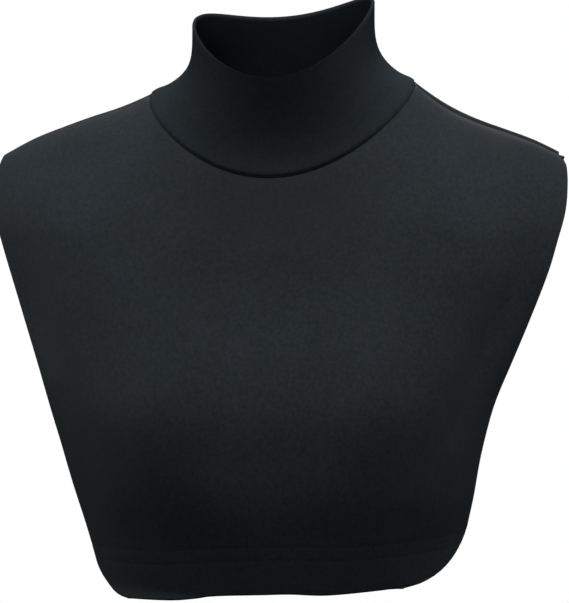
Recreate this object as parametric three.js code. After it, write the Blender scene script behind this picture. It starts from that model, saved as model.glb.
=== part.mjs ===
// A sleeveless jersey dickey with a mock turtleneck, in the form that it has when it is worn.
// Millimetres, +Z up. The front panel faces -Y, and +X is the right side as seen from the front.
// The origin is the middle of the neck opening, level with the shoulder line beside the neck.
import * as THREE from 'three';

// Cloth
const cloth = 1.2;            // thickness of one ply of jersey
const collarWall = 2.4;       // the folded collar, two plies
const allowanceWall = 2.2;    // a seam allowance, overlocked together
const allowanceDepth = 6;     // how far an allowance reaches from its seam
const allowanceShows = 1.5;   // how far a shoulder allowance stands out past the shoulder tip
const allowanceClear = 4;     // how far it ends from the neck seam
const seamGap = 0.3;          // clearance between two pieces that are sewn together
const hemDepth = 36;          // the cloth turned up inside along the bottom
const hemPly = 1.1;           // what the turned-up cloth adds to the wall
const hemStep = 1.5;          // height over which the hem's upper edge steps out

// Shoulders and neck seam
const shoulderWidth = 376;    // between the two shoulder tips
const shoulderDrop = 43;      // from beside the neck down to a tip
const shoulderDip = 4.5;      // how far the shoulder line sags below straight
const shoulderBack = 3;       // how far a tip lies behind the shoulder line's neck end
const neckWidth = 178;        // across the neck seam
const neckFront = 75;         // how far the neck seam reaches forward
const neckBack = 62;          // and backward
const neckFrontDrop = 56;     // how far the seam dips at the front
const neckBackDrop = 13;      // and at the back
const neckTilt = 3.5;         // how far its right end is raised and its left end lowered

// Collar
const collarWidth = 122;      // across the top edge
const collarFront = 54;       // how far the top edge reaches forward
const collarBack = 48;        // and backward
const collarFrontTop = 7;     // height of the top edge at the front
const collarSideTop = 51;     // at the sides
const collarBackTop = 50;     // and at the back
const collarTilt = 6;         // how far its right side is raised and its left side lowered
const collarLean = 0.5;       // how far the top edge leans sideways
const sideFlare = 4.2;        // how suddenly the collar spreads onto the shoulders
const frontFlare = 1.4;       // and onto the chest and the back
const foldCrown = 0.9;        // rounding of the fold along the top edge
const collarEase = 1.4;       // how far the collar's lower edge is cut back on its inside

// Panels
const panelLength = 325;      // from the shoulder line beside the neck down to the hem
const hemTilt = 6;            // how far the hem's right end is raised and its left end lowered
const chestReach = 130;       // how far the front panel stands forward
const backReach = 102;        // how far the back panel stands backward
const hemRise = 2.9;          // how far the hem's middle is drawn up
const hemRiseAt = -0.09;      // the middle of that stretch and half its width, as shares of the half width
const hemRiseWide = 0.4;
const leftCorner = 21;        // radius of the bottom corners
const rightCorner = 38;
const bustSpan = 144;         // between the two fullest points of the chest
const bustDown = 209;         // how far they lie below the shoulder line
const bustRise = 9;           // how far they stand out of the panel
const bustWide = 44;          // half the width of such a fullness
const bustTall = 58;          // and half its height
const bend = 0.93;            // roundness of a panel's cross-section, under 1

// Each row is a level of the panels. down is its share of panelLength, left and right are the edges'
// shares of half the shoulder width, and the others are shares of chestReach and backReach: the
// middle and the edges of each panel.
const levels = [
  { down: 0.00, left: 1.000, right: 1.000, chest: 0.52, chestEdge: 0.16, back: 0.60, backEdge: 0.20 },
  { down: 0.13, left: 1.000, right: 1.000, chest: 0.62, chestEdge: 0.25, back: 0.78, backEdge: 0.33 },
  { down: 0.18, left: 1.008, right: 1.005, chest: 0.67, chestEdge: 0.30, back: 0.84, backEdge: 0.38 },
  { down: 0.24, left: 1.003, right: 0.997, chest: 0.73, chestEdge: 0.35, back: 0.89, backEdge: 0.42 },
  { down: 0.30, left: 0.972, right: 0.970, chest: 0.79, chestEdge: 0.38, back: 0.94, backEdge: 0.45 },
  { down: 0.36, left: 0.940, right: 0.940, chest: 0.84, chestEdge: 0.41, back: 0.98, backEdge: 0.47 },
  { down: 0.45, left: 0.891, right: 0.881, chest: 0.90, chestEdge: 0.43, back: 1.00, backEdge: 0.48 },
  { down: 0.54, left: 0.838, right: 0.818, chest: 0.95, chestEdge: 0.45, back: 1.00, backEdge: 0.48 },
  { down: 0.63, left: 0.790, right: 0.756, chest: 0.98, chestEdge: 0.46, back: 0.98, backEdge: 0.47 },
  { down: 0.72, left: 0.745, right: 0.716, chest: 0.965, chestEdge: 0.45, back: 0.95, backEdge: 0.46 },
  { down: 0.81, left: 0.704, right: 0.689, chest: 0.93, chestEdge: 0.43, back: 0.92, backEdge: 0.45 },
  { down: 0.90, left: 0.662, right: 0.659, chest: 0.86, chestEdge: 0.39, back: 0.89, backEdge: 0.45 },
  { down: 1.00, left: 0.622, right: 0.650, chest: 0.775, chestEdge: 0.35, back: 0.87, backEdge: 0.46 },
];

// The shoulder lines, from beside the neck to the tips. left and right are their sag below straight, as
// shares of shoulderDip, and negative where they are crowned.
const shoulderLine = [
  { along: 0.0, left: 0.00, right: 0.00 },
  { along: 0.2, left: 0.09, right: 0.93 },
  { along: 0.4, left: -0.32, right: 0.90 },
  { along: 0.6, left: -0.53, right: 0.36 },
  { along: 0.8, left: -0.58, right: -0.10 },
  { along: 1.0, left: 0.00, right: 0.00 },
];

// Soft folds that run down from the arms. at is the fold's share of the way from the middle to the
// edge, top and bottom are shares of panelLength, rise is outward and wide is a share of the half width.
const foldRise = 4;
const folds = [
  { side: 1, at: 0.875, top: 0.18, bottom: 0.72, rise: -1.3, wide: 0.080 },
  { side: 1, at: 0.97, top: 0.20, bottom: 0.60, rise: 0.7, wide: 0.060 },
  { side: -1, at: 0.94, top: 0.18, bottom: 0.58, rise: -1.2, wide: 0.080 },
];

// How a panel leaves its upper edge. along is 0 at the middle of the neck, a half beside the neck and 1
// at the shoulder tip. lean is its slope away from the neck seam, in degrees below level. first and last
// say how long the curve keeps its first and last direction, and length how far down it goes, as shares
// of panelLength.
const tipSlope = 9;           // slope of the cloth across a shoulder tip, down towards the front
const frontStarts = [
  { along: 0.00, lean: 48, first: 0.040, last: 0.045, length: 0.15 },
  { along: 0.25, lean: 42, first: 0.035, last: 0.070, length: 0.20 },
  { along: 0.42, lean: 34, first: 0.034, last: 0.088, length: 0.25 },
  { along: 0.50, lean: 30, first: 0.054, last: 0.098, length: 0.28 },
  { along: 0.75, lean: 24, first: 0.050, last: 0.085, length: 0.23 },
  { along: 1.00, lean: 22, first: 0.055, last: 0.070, length: 0.17 },
];
const backStarts = [
  { along: 0.00, lean: 46, first: 0.035, last: 0.060, length: 0.20 },
  { along: 0.25, lean: 40, first: 0.034, last: 0.075, length: 0.23 },
  { along: 0.42, lean: 36, first: 0.024, last: 0.088, length: 0.25 },
  { along: 0.50, lean: 30, first: 0.090, last: 0.108, length: 0.28 },
  { along: 0.75, lean: 24, first: 0.070, last: 0.088, length: 0.22 },
  { along: 1.00, lean: 22, first: 0.060, last: 0.070, length: 0.17 },
];

// How finely the pieces are divided
const shoulderSteps = 6;
const neckSteps = 20;
const collarRises = [0, 0.12, 0.22, 0.33, 0.46, 0.62, 0.8, 1];
const hemHeights = [1, 0.62, 0.34, 0.15, 0.04, 0];

const quarter = Math.PI / 2;
const halfShoulder = shoulderWidth / 2;
const mix = THREE.MathUtils.lerp;
const radians = THREE.MathUtils.degToRad;

// A smooth curve through one column of a table, read at any place along another column.
function read(rows, place, column, at) {
  const last = rows.length - 1;
  if (at <= rows[0][place]) return rows[0][column];
  if (at >= rows[last][place]) return rows[last][column];
  const slope = (i) => {
    const before = rows[Math.max(i - 1, 0)];
    const after = rows[Math.min(i + 1, last)];
    return (after[column] - before[column]) / (after[place] - before[place]);
  };
  const i = rows.findIndex((row) => row[place] >= at) - 1;
  const span = rows[i + 1][place] - rows[i][place];
  const t = (at - rows[i][place]) / span;
  const level = rows[i][column] * (1 + 2 * t) * (1 - t) ** 2 + rows[i + 1][column] * t * t * (3 - 2 * t);
  return level + span * t * (1 - t) * (slope(i) * (1 - t) - slope(i + 1) * t);
}

// The height of a loop round the neck, smooth through its front, side and back heights.
function loopHeight(angle, front, side, back) {
  const twice = ((front + back) / 2 - side) / 2;
  return side + twice + ((front - back) / 2) * Math.cos(angle) + twice * Math.cos(2 * angle);
}

// The neck seam. The angle is 0 at the middle of the front and a right angle at the right side.
function neckSeam(angle) {
  const middle = (neckBack - neckFront) / 2;
  const radius = (neckBack + neckFront) / 2;
  return new THREE.Vector3(
    (neckWidth / 2) * Math.sin(angle),
    middle - radius * Math.cos(angle),
    loopHeight(angle, -neckFrontDrop, 0, -neckBackDrop) + neckTilt * Math.sin(angle),
  );
}

// The top edge of the collar, with the same angle.
function collarTop(angle) {
  const middle = (collarBack - collarFront) / 2;
  const radius = (collarBack + collarFront) / 2;
  return new THREE.Vector3(
    collarLean + (collarWidth / 2) * Math.sin(angle),
    middle - radius * Math.cos(angle),
    loopHeight(angle, collarFrontTop, collarSideTop, collarBackTop) + collarTilt * Math.sin(angle),
  );
}

// The shoulder seam, from beside the neck (0) to the tip (1).
function shoulderSeam(side, t) {
  const start = neckSeam(side * quarter);
  const end = new THREE.Vector3(side * halfShoulder, start.y + shoulderBack, -shoulderDrop);
  const point = start.clone().lerp(end, t);
  point.z -= shoulderDip * read(shoulderLine, 'along', side < 0 ? 'left' : 'right', t);
  return point;
}

// Half the width of a panel at a height, on one side, before its bottom corner is rounded.
function halfWidth(side, z) {
  return halfShoulder * read(levels, 'down', side < 0 ? 'left' : 'right', -z / panelLength);
}

// The height of the hem under a point, by its share of the half width.
function hemHeight(share) {
  return -panelLength + hemTilt * share + hemRise * bell(((share - hemRiseAt) / hemRiseWide) ** 2);
}

// The same half width with the round corner taken off.
function roundedHalf(side, z) {
  const radius = side < 0 ? leftCorner : rightCorner;
  const above = THREE.MathUtils.clamp((z - hemHeight(side)) / radius, 0, 1);
  return halfWidth(side, z) - radius * (1 - Math.sqrt(above * (2 - above)));
}

function bell(x) {
  return Math.exp(-x * x);
}

// How far a panel stands away from the middle of the body, at a point of its outline seen from the front.
function reach(panel, x, z) {
  const down = -z / panelLength;
  const side = Math.sign(x) || 1;
  const share = Math.min(Math.abs(x) / halfWidth(side, z), 1);
  const drop = (1 - Math.sqrt(1 - (bend * share) ** 2)) / (1 - Math.sqrt(1 - bend ** 2));
  const middle = panel.reach * read(levels, 'down', panel.middle, down);
  const edge = panel.reach * read(levels, 'down', panel.edge, down);
  let out = mix(middle, edge, drop);
  if (panel.bust) {
    out += bustRise * bell((Math.abs(x) - bustSpan / 2) / bustWide) * bell((-z - bustDown) / bustTall);
  }
  for (const fold of folds) {
    if (fold.side === side && down > fold.top && down < fold.bottom) {
      const fade = Math.sin((Math.PI * (down - fold.top)) / (fold.bottom - fold.top));
      out += foldRise * fold.rise * fade * bell((share - fold.at) / fold.wide);
    }
  }
  return out;
}

const front = {
  facing: -1, reach: chestReach, middle: 'chest', edge: 'chestEdge', bust: true,
  starts: frontStarts, curveSteps: 7, bodySteps: 11,
};
const back = {
  facing: 1, reach: backReach, middle: 'back', edge: 'backEdge', bust: false,
  starts: backStarts, curveSteps: 6, bodySteps: 6,
};

// How steeply a panel starts down from its upper edge, seen from the side, in radians below level.
// It lies in the plane that leaves the neck seam squarely with the lean of that place.
function startSlope(panel, along, angle) {
  const aside = 0.01;         // half the stretch of seam, in radians, that gives its direction
  const seam = neckSeam(angle + aside).sub(neckSeam(angle - aside));
  const outward = new THREE.Vector2(seam.y, -seam.x).normalize();
  const lean = radians(read(panel.starts, 'along', 'lean', Math.min(along, 0.5)));
  const away = new THREE.Vector3(outward.x * Math.cos(lean), outward.y * Math.cos(lean), -Math.sin(lean));
  const normal = away.cross(seam);
  const slope = Math.atan2(panel.facing * normal.y, normal.z);
  return along < 0.5 ? slope : mix(slope, -panel.facing * radians(tipSlope), 2 * along - 1);
}

// The upper ends of a panel's columns, from the left tip past the neck to the right tip.
function upperEdge(panel) {
  const atShoulder = (side, i) => {
    const t = i / shoulderSteps;
    return { top: shoulderSeam(side, t), along: (1 + t) / 2, angle: side * quarter };
  };
  const ends = [];
  for (let i = shoulderSteps; i > 0; i--) ends.push(atShoulder(-1, i));
  for (let i = 0; i <= neckSteps; i++) {
    const turn = quarter * ((2 * i) / neckSteps - 1);
    const angle = panel.facing < 0 ? turn : Math.PI - turn;
    ends.push({ top: neckSeam(angle), along: Math.abs(turn / quarter) / 2, angle });
  }
  for (let i = 1; i <= shoulderSteps; i++) ends.push(atShoulder(1, i));
  return ends;
}

// One column of a panel: it leaves the seam on a curve, follows the body and ends at the hem.
function columnOf(panel, end, lowShare) {
  const { top, along, angle } = end;
  const side = Math.sign(top.x) || 1;
  const highShare = Math.abs(top.x) / halfWidth(side, top.z);
  const bottom = hemHeight(side * lowShare);
  const hemTop = bottom + hemDepth + hemStep;
  const start = (name) => panelLength * read(panel.starts, 'along', name, along);
  const knee = top.z - start('length');
  const outlineAt = (z) => {
    const fan = Math.sin((quarter * (top.z - z)) / (top.z - bottom));
    return side * mix(highShare, lowShare, fan) * roundedHalf(side, z);
  };
  const bodyAt = (z) => new THREE.Vector3(outlineAt(z), panel.facing * reach(panel, outlineAt(z), z), z);
  const slope = startSlope(panel, along, angle);
  const low = bodyAt(knee);
  const below = bodyAt(knee - start('last') / 2);
  const up = new THREE.Vector2(low.y - below.y, low.z - below.z).normalize();
  const curve = new THREE.CubicBezierCurve(
    new THREE.Vector2(top.y, top.z),
    new THREE.Vector2(
      top.y + panel.facing * start('first') * Math.cos(slope),
      top.z - start('first') * Math.sin(slope),
    ),
    new THREE.Vector2(low.y, low.z).addScaledVector(up, start('last')),
    new THREE.Vector2(low.y, low.z),
  );
  const points = [top];
  for (let i = 1; i < panel.curveSteps; i++) {
    const { x: y, y: z } = curve.getPoint(i / panel.curveSteps);
    points.push(new THREE.Vector3(outlineAt(Math.min(z, top.z)), y, z));
  }
  for (let i = 0; i <= panel.bodySteps; i++) points.push(bodyAt(mix(knee, hemTop, i / panel.bodySteps)));
  for (const share of hemHeights) points.push(bodyAt(bottom + hemDepth * share));
  return points;
}

// The outer face of a panel, as columns of points. Along the shoulder seams it keeps half the gap.
function panelFace(panel) {
  const ends = upperEdge(panel);
  return ends.map((end, i) => {
    const column = columnOf(panel, end, Math.abs((2 * i) / (ends.length - 1) - 1));
    if (end.along >= 0.5) {
      const away = column[1].clone().sub(column[0]).normalize();
      column[0].addScaledVector(away, seamGap / 2);
    }
    return column;
  });
}

// Unit normals of a grid of points, averaged over the faces round each point. closed joins its ends.
function normalsOf(grid, facing, closed) {
  const normals = grid.map((column) => column.map(() => new THREE.Vector3()));
  const edgeA = new THREE.Vector3();
  const edgeB = new THREE.Vector3();
  const columns = grid.length;
  for (let i = 0; i < (closed ? columns : columns - 1); i++) {
    const next = (i + 1) % columns;
    for (let j = 0; j < grid[i].length - 1; j++) {
      edgeA.subVectors(grid[next][j + 1], grid[i][j]);
      edgeB.subVectors(grid[next][j], grid[i][j + 1]);
      const normal = edgeB.clone().cross(edgeA).multiplyScalar(facing);
      for (const [a, b] of [[i, j], [next, j], [i, j + 1], [next, j + 1]]) normals[a][b].add(normal);
    }
  }
  return normals.map((column) => column.map((normal) => normal.normalize()));
}

// A grid moved along its normals, by a depth that may differ from row to row.
function offset(grid, normals, depthOf) {
  return grid.map((column, i) => column.map((point, j) => (
    point.clone().addScaledVector(normals[i][j], -depthOf(j))
  )));
}

// A closed body from a loop of points for each section. The sections join end to end when it is a ring.
function bodyOf(sections, ring) {
  const size = sections[0].length;
  const positions = sections.flat().flatMap((point) => point.toArray());
  const indices = [];
  const count = ring ? sections.length : sections.length - 1;
  for (let i = 0; i < count; i++) {
    const next = (i + 1) % sections.length;
    for (let j = 0; j < size; j++) {
      const after = (j + 1) % size;
      const a = i * size + j;
      const b = next * size + j;
      const c = next * size + after;
      const d = i * size + after;
      indices.push(a, b, c, a, c, d);
    }
  }
  if (!ring) {
    for (let j = 0; j < size / 2 - 1; j++) {
      const end = (sections.length - 1) * size;
      const a = j;
      const b = j + 1;
      const c = size - 2 - j;
      const d = size - 1 - j;
      indices.push(a, b, c, a, c, d);
      indices.push(end + a, end + c, end + b, end + a, end + d, end + c);
    }
  }
  const geometry = new THREE.BufferGeometry();
  geometry.setAttribute('position', new THREE.Float32BufferAttribute(positions, 3));
  geometry.setIndex(indices);
  geometry.computeVertexNormals();
  return geometry;
}

// Turns a body's faces round when they point inwards.
function facingOut(geometry) {
  const at = geometry.getAttribute('position');
  const index = geometry.getIndex();
  const corner = [0, 1, 2].map(() => new THREE.Vector3());
  let volume = 0;
  for (let i = 0; i < index.count; i += 3) {
    corner.forEach((point, k) => point.fromBufferAttribute(at, index.getX(i + k)));
    volume += corner[0].dot(corner[1].clone().cross(corner[2]));
  }
  if (volume < 0) {
    for (let i = 0; i < index.count; i += 3) {
      const kept = index.getX(i + 1);
      index.setX(i + 1, index.getX(i + 2));
      index.setX(i + 2, kept);
    }
    geometry.computeVertexNormals();
  }
  return geometry;
}

// The two panels are worked out together, because they share the normals along the shoulder seams.
const frontFace = panelFace(front);
const backFace = panelFace(back);
const frontNormals = normalsOf(frontFace, front.facing, false);
const backNormals = normalsOf(backFace, back.facing, false);
frontFace.forEach((column, i) => {
  if (i <= shoulderSteps || i >= shoulderSteps + neckSteps) {
    const shared = frontNormals[i][0].clone().add(backNormals[i][0]).normalize();
    frontNormals[i][0].copy(shared);
    backNormals[i][0].copy(shared);
  }
});

// A panel: one ply of cloth behind its outer face, and two along the hem.
function panelBody(face, normals) {
  const hemRow = face[0].length - hemHeights.length;
  const inner = offset(face, normals, (j) => (j < hemRow ? cloth : cloth + hemPly));
  const sections = face.map((column, i) => [...column, ...inner[i].reverse()]);
  return facingOut(bodyOf(sections, false));
}

// The collar: a band folded in two along its top edge. It starts just above the neck seam.
function collarFace() {
  const columns = [];
  for (let i = 0; i < 2 * neckSteps; i++) {
    const angle = (Math.PI * i) / neckSteps;
    const low = neckSeam(angle);
    const high = collarTop(angle);
    const flare = mix(frontFlare, sideFlare, Math.sin(angle) ** 4);
    const column = collarRises.map((rise) => {
      const inward = 1 - (1 - rise) ** flare;
      return new THREE.Vector3(mix(low.x, high.x, inward), mix(low.y, high.y, inward), mix(low.z, high.z, rise));
    });
    const up = column[1].clone().sub(column[0]).normalize();
    column[0].addScaledVector(up, seamGap);
    columns.push(column);
  }
  return columns;
}

const collarOuter = collarFace();
const collarNormals = normalsOf(collarOuter, 1, true);

function collarBody() {
  const inner = offset(collarOuter, collarNormals, () => collarWall);
  inner.forEach((column) => {
    const up = column[1].clone().sub(column[0]).normalize();
    column[0].addScaledVector(up, collarEase);
  });
  const last = collarRises.length - 1;
  const sections = collarOuter.map((column, i) => {
    const up = column[last].clone().sub(column[last - 1]).normalize();
    const crown = column[last].clone().add(inner[i][last]).multiplyScalar(0.5).addScaledVector(up, foldCrown);
    return [...column, crown, ...[...inner[i]].reverse()];
  });
  return facingOut(bodyOf(sections, true));
}

// The section of a seam allowance that lies flat against the inside of a column's first stretch.
function allowanceSection(column, normals, wall) {
  const wide = Math.min(allowanceDepth / column[0].distanceTo(column[1]), 1);
  const near = wall + seamGap;
  const far = near + allowanceWall;
  return [[0, near], [wide, near], [wide, far], [0, far]].map(([along, depth]) => {
    const inward = normals[0].clone().lerp(normals[1], along).multiplyScalar(-depth);
    return column[0].clone().lerp(column[1], along).add(inward);
  });
}

// The neck seam's allowance, turned up against the inside of the collar all round.
function neckSeamBody() {
  const sections = collarOuter.map((column, i) => allowanceSection(column, collarNormals[i], collarWall));
  return facingOut(bodyOf(sections, true));
}

// A section moved towards another one by a distance, or away from it when that is negative.
function moved(section, towards, distance) {
  return section.map((point, k) => (
    point.clone().add(towards[k].clone().sub(point).setLength(distance))
  ));
}

// A shoulder seam's allowance, turned back under the back panel. Its end shows past the shoulder tip.
function shoulderSeamBody(side) {
  const last = backFace.length - 1;
  const sections = [];
  for (let i = 0; i <= shoulderSteps; i++) {
    const k = side < 0 ? i : last - i;
    sections.push(allowanceSection(backFace[k], backNormals[k], cloth));
  }
  sections[0] = moved(sections[0], sections[1], -allowanceShows);
  sections.push(moved(sections.pop(), sections[shoulderSteps - 1], allowanceClear));
  return facingOut(bodyOf(sections, false));
}

function jersey(colour) {
  return new THREE.MeshStandardMaterial({ color: colour, roughness: 0.9, metalness: 0 });
}

function addPiece(name, geometry, material) {
  const mesh = new THREE.Mesh(geometry, material);
  mesh.name = name;
  group.add(mesh);
}

const group = new THREE.Group();
addPiece('front_panel', panelBody(frontFace, frontNormals), jersey(0x2b2e31));
addPiece('back_panel', panelBody(backFace, backNormals), jersey(0x2a2d30));
addPiece('collar', collarBody(), jersey(0x25282b));
addPiece('neck_seam', neckSeamBody(), jersey(0x1f2123));
addPiece('shoulder_seam_left', shoulderSeamBody(-1), jersey(0x1f2123));
addPiece('shoulder_seam_right', shoulderSeamBody(1), jersey(0x1f2123));

export default group;
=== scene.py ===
"""A black jersey dickey with a mock turtleneck, in the form that it has when it is worn."""
import bisect
import math

import bpy
import numpy as np
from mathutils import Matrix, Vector, noise


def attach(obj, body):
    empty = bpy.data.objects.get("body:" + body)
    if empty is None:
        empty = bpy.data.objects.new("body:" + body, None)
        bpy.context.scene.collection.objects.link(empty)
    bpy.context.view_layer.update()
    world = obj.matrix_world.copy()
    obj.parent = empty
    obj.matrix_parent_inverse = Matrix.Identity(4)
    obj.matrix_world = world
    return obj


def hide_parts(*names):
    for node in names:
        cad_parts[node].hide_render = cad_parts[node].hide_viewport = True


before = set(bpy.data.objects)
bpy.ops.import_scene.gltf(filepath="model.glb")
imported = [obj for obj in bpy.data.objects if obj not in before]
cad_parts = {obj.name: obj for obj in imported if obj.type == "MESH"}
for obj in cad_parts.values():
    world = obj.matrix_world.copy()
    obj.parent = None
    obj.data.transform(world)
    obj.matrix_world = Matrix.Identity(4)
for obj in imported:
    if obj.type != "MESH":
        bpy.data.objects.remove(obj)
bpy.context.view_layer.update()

bl_info = {
    "name": "Turtleneck dickey",
    "version": (1, 0, 0),
    "blender": (4, 5, 0),
    "location": "3D View > Sidebar > Dickey",
    "description": "Builds a jersey dickey with a folded mock turtleneck around its packed frame",
    "category": "Object",
}

MM = 0.001
QUARTER = math.pi / 2

# The garment's form, in millimetres: the same sizes and tables as the frame's own solids.
SHOULDER_WIDTH, SHOULDER_DROP, SHOULDER_DIP, SHOULDER_BACK = 376, 43, 4.5, 3
NECK_WIDTH, NECK_FRONT, NECK_BACK = 178, 75, 62
NECK_FRONT_DROP, NECK_BACK_DROP, NECK_TILT = 56, 13, 3.5
COLLAR_WIDTH, COLLAR_FRONT, COLLAR_BACK = 122, 54, 48
COLLAR_FRONT_TOP, COLLAR_SIDE_TOP, COLLAR_BACK_TOP, COLLAR_TILT, COLLAR_LEAN = 7, 51, 50, 6, 0.5
SIDE_FLARE, FRONT_FLARE = 4.2, 1.4
PANEL_LENGTH, HEM_TILT = 325, 6
HEM_RISE, HEM_RISE_AT, HEM_RISE_WIDE = 2.9, -0.09, 0.4
CORNER = {-1: 21, 1: 38}
BUST_SPAN, BUST_DOWN, BUST_RISE, BUST_WIDE, BUST_TALL = 144, 209, 9, 44, 58
BEND = 0.93
TIP_SLOPE = 9
SEAM_GAP = 0.3
# Half the stretch of seam, in radians, that gives its direction.
ASIDE = 0.01
SHOULDER_STEPS, NECK_STEPS = 6, 20

# Share of the length down, then the edges' shares of half the width at the left and right, and the
# middle and the edge of the front and of the back, as shares of how far each stands out.
LEVELS = (
    (0.00, 1.000, 1.000, 0.52, 0.16, 0.60, 0.20),
    (0.13, 1.000, 1.000, 0.62, 0.25, 0.78, 0.33),
    (0.18, 1.008, 1.005, 0.67, 0.30, 0.84, 0.38),
    (0.24, 1.003, 0.997, 0.73, 0.35, 0.89, 0.42),
    (0.30, 0.972, 0.970, 0.79, 0.38, 0.94, 0.45),
    (0.36, 0.940, 0.940, 0.84, 0.41, 0.98, 0.47),
    (0.45, 0.891, 0.881, 0.90, 0.43, 1.00, 0.48),
    (0.54, 0.838, 0.818, 0.95, 0.45, 1.00, 0.48),
    (0.63, 0.790, 0.756, 0.98, 0.46, 0.98, 0.47),
    (0.72, 0.745, 0.716, 0.965, 0.45, 0.95, 0.46),
    (0.81, 0.704, 0.689, 0.93, 0.43, 0.92, 0.45),
    (0.90, 0.662, 0.659, 0.86, 0.39, 0.89, 0.45),
    (1.00, 0.622, 0.650, 0.775, 0.35, 0.87, 0.46),
)
# Share of the way from beside the neck to a shoulder tip, then the sag of the left and of the right
# shoulder line below straight, as shares of the dip.
SHOULDER_LINE = (
    (0.0, 0.00, 0.00), (0.2, 0.09, 0.93), (0.4, -0.32, 0.90),
    (0.6, -0.53, 0.36), (0.8, -0.58, -0.10), (1.0, 0.00, 0.00),
)
# Share of the way from the middle of the neck to a shoulder tip, then the cloth's lean away from
# the neck, how long it keeps its first and last direction, and how far down the curve goes.
FRONT_STARTS = (
    (0.00, 48, 0.040, 0.045, 0.15), (0.25, 42, 0.035, 0.070, 0.20), (0.42, 34, 0.034, 0.088, 0.25),
    (0.50, 30, 0.054, 0.098, 0.28), (0.75, 24, 0.050, 0.085, 0.23), (1.00, 22, 0.055, 0.070, 0.17),
)
BACK_STARTS = (
    (0.00, 46, 0.035, 0.060, 0.20), (0.25, 40, 0.034, 0.075, 0.23), (0.42, 36, 0.024, 0.088, 0.25),
    (0.50, 30, 0.090, 0.108, 0.28), (0.75, 24, 0.070, 0.088, 0.22), (1.00, 22, 0.060, 0.070, 0.17),
)
# Folds that run down from the arms: side, share of the way to the edge, where it starts and ends as
# shares of the length, its rise and its half width as a share of the panel's.
FOLDS = (
    (1, 0.875, 0.18, 0.72, -7.5, 0.078),
    (1, 0.975, 0.20, 0.60, 4.4, 0.042),
    (-1, 0.93, 0.18, 0.58, -9.5, 0.075),
)


def metres(name, description, default):
    """A size in metres that a user may change."""
    return bpy.props.FloatProperty(
        name=name, description=description, default=default, unit="LENGTH")


def colour(name, description, default):
    """A colour that a user may change."""
    return bpy.props.FloatVectorProperty(
        name=name, description=description, subtype="COLOR", size=3, default=default, min=0, max=1)


class DickeyCloth(bpy.types.PropertyGroup):
    """How the cloth is cut and turned."""

    ply: metres("Ply", "Thickness of one ply of jersey", 0.0012)
    collar_wall: metres("Collar", "Thickness of the folded collar", 0.0024)
    hem_depth: metres("Hem depth", "How much cloth is turned up along the bottom", 0.036)
    hem_ply: metres("Hem ply", "What the turned-up cloth adds to the wall", 0.0011)
    roll_depth: metres("Seam roll", "How far a panel rolls in at a seam", 0.0022)
    roll_width: metres("Roll width", "How far from the seam it starts to roll", 0.0026)
    seam_step: metres(
        "Seam step", "How far the front lies below the back at the right shoulder", 0.0015)
    tip_radius: metres("Tip radius", "Rounding of the right shoulder tip", 0.0050)
    puff: metres("Collar puff", "How far the allowance inside pushes the collar's edge out", 0.0011)
    ease: metres("Ease", "Height of the slow waves in the worn cloth", 0.0007)


class DickeyStitches(bpy.types.PropertyGroup):
    """The sewing thread."""

    length: metres("Stitch", "Length of one hem stitch", 0.0024)
    spacing: metres("Spacing", "From one hem stitch to the next", 0.0030)
    thread: metres("Thread", "Thickness of the thread", 0.00035)
    upper_row: metres("Upper row", "Height of the upper row above the hem's edge", 0.0318)
    row_gap: metres("Row gap", "Distance between the two rows", 0.0090)
    overlock: metres("Overlock", "From one overlock loop to the next", 0.0019)
    allowance: metres("Allowance", "Width of a seam allowance", 0.006)
    allowance_wall: metres("Allowance wall", "Thickness of a seam allowance", 0.0022)


class DickeyLook(bpy.types.PropertyGroup):
    """Colours of the cloth and of the studio."""

    jersey: colour("Jersey", "Colour of the panels", (0.0140, 0.0186, 0.0206))
    # The collar's colour is the jersey's own dark colour made lighter by painted light, which its
    # painted shade on the front and inside the fold deepens again.
    collar: colour("Collar", "Colour of the collar", (0.0246, 0.0318, 0.0348))
    thread: colour("Thread", "Colour of the thread", (0.0075, 0.0098, 0.0108))
    wale: bpy.props.FloatProperty(
        name="Wale", description="Width of one column of the knit, in millimetres", default=0.85)
    mottle: bpy.props.FloatProperty(
        name="Mottle", description="How much the colour varies", default=0.26, min=0, max=1)
    floor: colour("Floor", "Colour of the floor", (0.86, 0.86, 0.86))
    key: bpy.props.FloatProperty(
        name="Key light", description="Power of the light above", default=39.0, min=0)


# Curves of the garment's form.

def smooth(rows, column):
    """A function that reads a smooth curve through one column of a table."""
    places = [row[0] for row in rows]
    values = [row[column] for row in rows]
    last = len(rows) - 1
    slopes = [
        (values[min(i + 1, last)] - values[max(i - 1, 0)])
        / (places[min(i + 1, last)] - places[max(i - 1, 0)])
        for i in range(len(rows))
    ]

    def at(place):
        if place <= places[0]:
            return values[0]
        if place >= places[last]:
            return values[last]
        i = bisect.bisect_left(places, place) - 1
        span = places[i + 1] - places[i]
        t = (place - places[i]) / span
        level = values[i] * (1 + 2 * t) * (1 - t) ** 2 + values[i + 1] * t * t * (3 - 2 * t)
        return level + span * t * (1 - t) * (slopes[i] * (1 - t) - slopes[i + 1] * t)

    return at


def mix(a, b, t):
    return a + (b - a) * t


def loop_height(angle, front, side, back):
    """Height of a loop round the neck, smooth through its front, side and back heights."""
    twice = ((front + back) / 2 - side) / 2
    return side + twice + (front - back) / 2 * math.cos(angle) + twice * math.cos(2 * angle)


def neck_seam(angle):
    """A point of the neck seam. The angle is 0 at the middle of the front."""
    return Vector((
        NECK_WIDTH / 2 * math.sin(angle),
        (NECK_BACK - NECK_FRONT) / 2 - (NECK_BACK + NECK_FRONT) / 2 * math.cos(angle),
        loop_height(angle, -NECK_FRONT_DROP, 0, -NECK_BACK_DROP) + NECK_TILT * math.sin(angle),
    ))


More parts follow.
